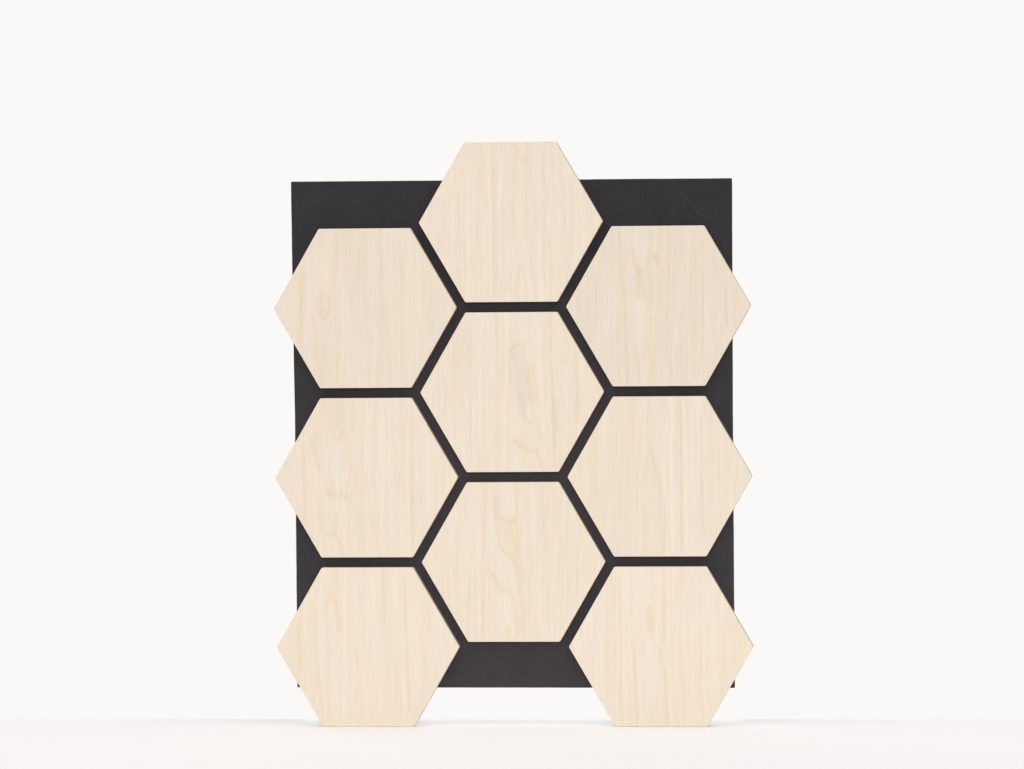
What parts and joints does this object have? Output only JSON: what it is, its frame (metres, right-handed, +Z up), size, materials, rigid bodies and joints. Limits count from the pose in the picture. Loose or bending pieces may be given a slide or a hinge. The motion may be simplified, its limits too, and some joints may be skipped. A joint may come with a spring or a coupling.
{
  "type": "hexagon tile acoustic wall panel",
  "caption": "Flat acoustic wall panel: wood-veneered hexagonal tiles in a honeycomb on a dark polyester felt backing board.",
  "frame": {"origin": "centre of the felt board's back face, on the wall", "axes": "+Y into the wall, with the tiles facing -Y; +Z up; +X to the viewer's right"},
  "size_m": [0.5628, 0.0222, 0.688],
  "materials": {
    "felt": "needled polyester felt, charcoal, matte",
    "fibreboard": "sawn medium-density fibreboard, unsealed",
    "veneer": "pale straight-grained veneer, satin clear lacquer",
    "staple_wire": "galvanised flat wire"
  },
  "bodies": {
    "root": {"felt_backing": "felt", "tile_core_left_top": "fibreboard", "tile_core_left_centre": "fibreboard", "tile_core_left_bottom": "fibreboard", "tile_core_middle_top": "fibreboard", "tile_core_middle_centre": "fibreboard", "tile_core_middle_bottom": "fibreboard", "tile_core_right_top": "fibreboard", "tile_core_right_centre": "fibreboard", "tile_core_right_bottom": "fibreboard", "tile_veneer_left_top": "veneer", "tile_veneer_left_centre": "veneer", "tile_veneer_left_bottom": "veneer", "tile_veneer_middle_top": "veneer", "tile_veneer_middle_centre": "veneer", "tile_veneer_middle_bottom": "veneer", "tile_veneer_right_top": "veneer", "tile_veneer_right_centre": "veneer", "tile_veneer_right_bottom": "veneer", "staple_left_top_1": "staple_wire", "staple_left_top_2": "staple_wire", "staple_left_top_3": "staple_wire", "staple_left_top_4": "staple_wire", "staple_left_centre_1": "staple_wire", "staple_left_centre_2": "staple_wire", "staple_left_centre_3": "staple_wire", "staple_left_centre_4": "staple_wire", "staple_left_bottom_1": "staple_wire", "staple_left_bottom_2": "staple_wire", "staple_left_bottom_3": "staple_wire", "staple_left_bottom_4": "staple_wire", "staple_middle_top_1": "staple_wire", "staple_middle_top_2": "staple_wire", "staple_middle_top_3": "staple_wire", "staple_middle_top_4": "staple_wire", "staple_middle_centre_1": "staple_wire", "staple_middle_centre_2": "staple_wire", "staple_middle_centre_3": "staple_wire", "staple_middle_centre_4": "staple_wire", "staple_middle_bottom_1": "staple_wire", "staple_middle_bottom_2": "staple_wire", "staple_middle_bottom_3": "staple_wire", "staple_middle_bottom_4": "staple_wire", "staple_right_top_1": "staple_wire", "staple_right_top_2": "staple_wire", "staple_right_top_3": "staple_wire", "staple_right_top_4": "staple_wire", "staple_right_centre_1": "staple_wire", "staple_right_centre_2": "staple_wire", "staple_right_centre_3": "staple_wire", "staple_right_centre_4": "staple_wire", "staple_right_bottom_1": "staple_wire", "staple_right_bottom_2": "staple_wire", "staple_right_bottom_3": "staple_wire", "staple_right_bottom_4": "staple_wire"}
  },
  "joints": []
}
